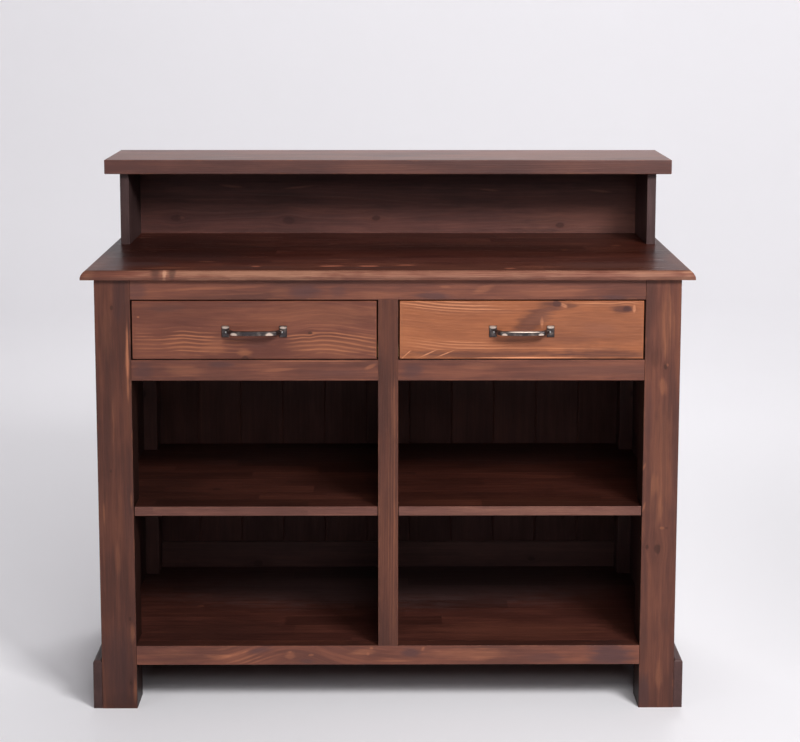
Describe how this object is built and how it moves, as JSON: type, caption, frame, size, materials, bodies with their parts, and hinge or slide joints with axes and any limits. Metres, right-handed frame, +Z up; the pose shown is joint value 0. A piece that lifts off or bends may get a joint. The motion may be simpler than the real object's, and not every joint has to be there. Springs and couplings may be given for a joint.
{
  "type": "bar counter with shelves and drawers",
  "caption": "Free-standing wooden bar counter with a raised serving ledge, a moulded worktop, sliding drawers with bow pulls and open shelf bays between square legs.",
  "frame": {"origin": "on the floor, under the middle of the overall box", "axes": "+X along the counter, +Y towards the guests' side, +Z up; the shelf side with the drawers faces -Y"},
  "size_m": [1.22, 0.57, 1.088],
  "materials": {
    "frame_wood": "walnut-stained spruce, satin lacquer, edges a little worn",
    "panel_wood": "walnut-stained spruce, satin lacquer",
    "shelf_wood": "walnut-stained spruce, satin lacquer",
    "worktop_wood": "walnut-stained spruce, satin lacquer with a soft sheen",
    "drawer_front_wood": "lighter walnut-stained spruce with plain grain, satin lacquer",
    "drawer_box_wood": "plain planed spruce",
    "drawer_bottom_wood": "plain plywood",
    "runner_wood": "plain planed spruce",
    "dowel_wood": "plain beech",
    "antique_metal": "dark antique metal, rubbed bright on its edges",
    "screw_steel": "zinc-plated"
  },
  "bodies": {
    "root": {"top_rail": "frame_wood", "bottom_rail": "frame_wood", "centre_stile": "frame_wood", "centre_divider": "panel_wood", "bottom_shelf": "shelf_wood", "rear_top_rail": "frame_wood", "rear_bottom_rail": "frame_wood", "rear_drawer_rail": "runner_wood", "rear_plinth": "frame_wood", "back_boards": "panel_wood", "cleat_screws": "screw_steel", "worktop": "worktop_wood", "worktop_screws": "screw_steel", "hutch_back": "panel_wood", "hutch_screws": "screw_steel", "top_ledge": "worktop_wood", "ledge_dowels": "dowel_wood", "front_leg_left": "frame_wood", "front_leg_right": "frame_wood", "rear_leg_left": "frame_wood", "rear_leg_right": "frame_wood", "side_panel_left": "panel_wood", "side_panel_right": "panel_wood", "side_rail_left": "frame_wood", "side_rail_right": "frame_wood", "side_plinth_left": "frame_wood", "side_plinth_right": "frame_wood", "drawer_rail_left": "frame_wood", "drawer_rail_right": "frame_wood", "middle_shelf_left": "shelf_wood", "middle_shelf_right": "shelf_wood", "outer_cleat_left": "frame_wood", "outer_cleat_right": "frame_wood", "inner_cleat_left": "frame_wood", "inner_cleat_right": "frame_wood", "outer_runner_left": "runner_wood", "outer_runner_right": "runner_wood", "inner_runner_left": "runner_wood", "inner_runner_right": "runner_wood", "kicker_left": "runner_wood", "kicker_right": "runner_wood", "drawer_stop_left": "runner_wood", "drawer_stop_right": "runner_wood", "hutch_side_left": "frame_wood", "hutch_side_right": "frame_wood"},
    "drawer_left": {"drawer_front_left": "drawer_front_wood", "drawer_outer_side_left": "drawer_box_wood", "drawer_inner_side_left": "drawer_box_wood", "drawer_back_left": "drawer_box_wood", "drawer_bottom_left": "drawer_bottom_wood", "pull_left": "antique_metal", "pull_screws_left": "screw_steel"},
    "drawer_right": {"drawer_front_right": "drawer_front_wood", "drawer_outer_side_right": "drawer_box_wood", "drawer_inner_side_right": "drawer_box_wood", "drawer_back_right": "drawer_box_wood", "drawer_bottom_right": "drawer_bottom_wood", "pull_right": "antique_metal", "pull_screws_right": "screw_steel"}
  },
  "joints": [
    {"name": "drawer_left_slide", "type": "slide", "parent": "root", "child": "drawer_left", "axis": [0, -1, 0], "range_m": [0, 0.3]},
    {"name": "drawer_right_slide", "type": "slide", "parent": "root", "child": "drawer_right", "axis": [0, -1, 0], "range_m": [0, 0.3]}
  ]
}
